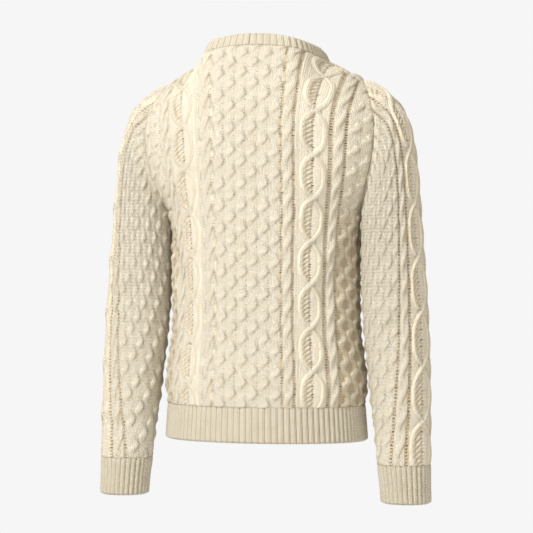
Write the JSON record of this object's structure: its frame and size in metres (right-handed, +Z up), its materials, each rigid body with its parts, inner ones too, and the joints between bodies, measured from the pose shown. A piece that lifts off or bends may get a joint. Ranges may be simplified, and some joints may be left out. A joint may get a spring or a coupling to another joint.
{
  "type": "cable-knit sweater",
  "caption": "Aran cable-knit crew-neck pullover in cream wool, filled out as worn: honeycomb, rope and diamond cables, set-in sleeves, ribbed hem, cuffs and neckband, open at every end.",
  "frame": {"origin": "middle of the neck opening, half way up the neckband at its sides", "axes": "+Z up, -Y toward the front of the sweater, +X toward the wearer's left"},
  "size_m": [0.5974, 0.2469, 0.8027],
  "materials": {
    "cream_wool": "undyed worsted wool, cabled",
    "cream_rib": "undyed worsted wool, ribbed",
    "woven_tape": "plain woven tape"
  },
  "bodies": {
    "root": {"back": "cream_wool", "front": "cream_wool", "sleeve_left": "cream_wool", "sleeve_right": "cream_wool", "cuff_left": "cream_rib", "cuff_right": "cream_rib", "hem_welt_back": "cream_rib", "hem_welt_front": "cream_rib", "neckband": "cream_rib", "side_label": "woven_tape"}
  },
  "joints": []
}
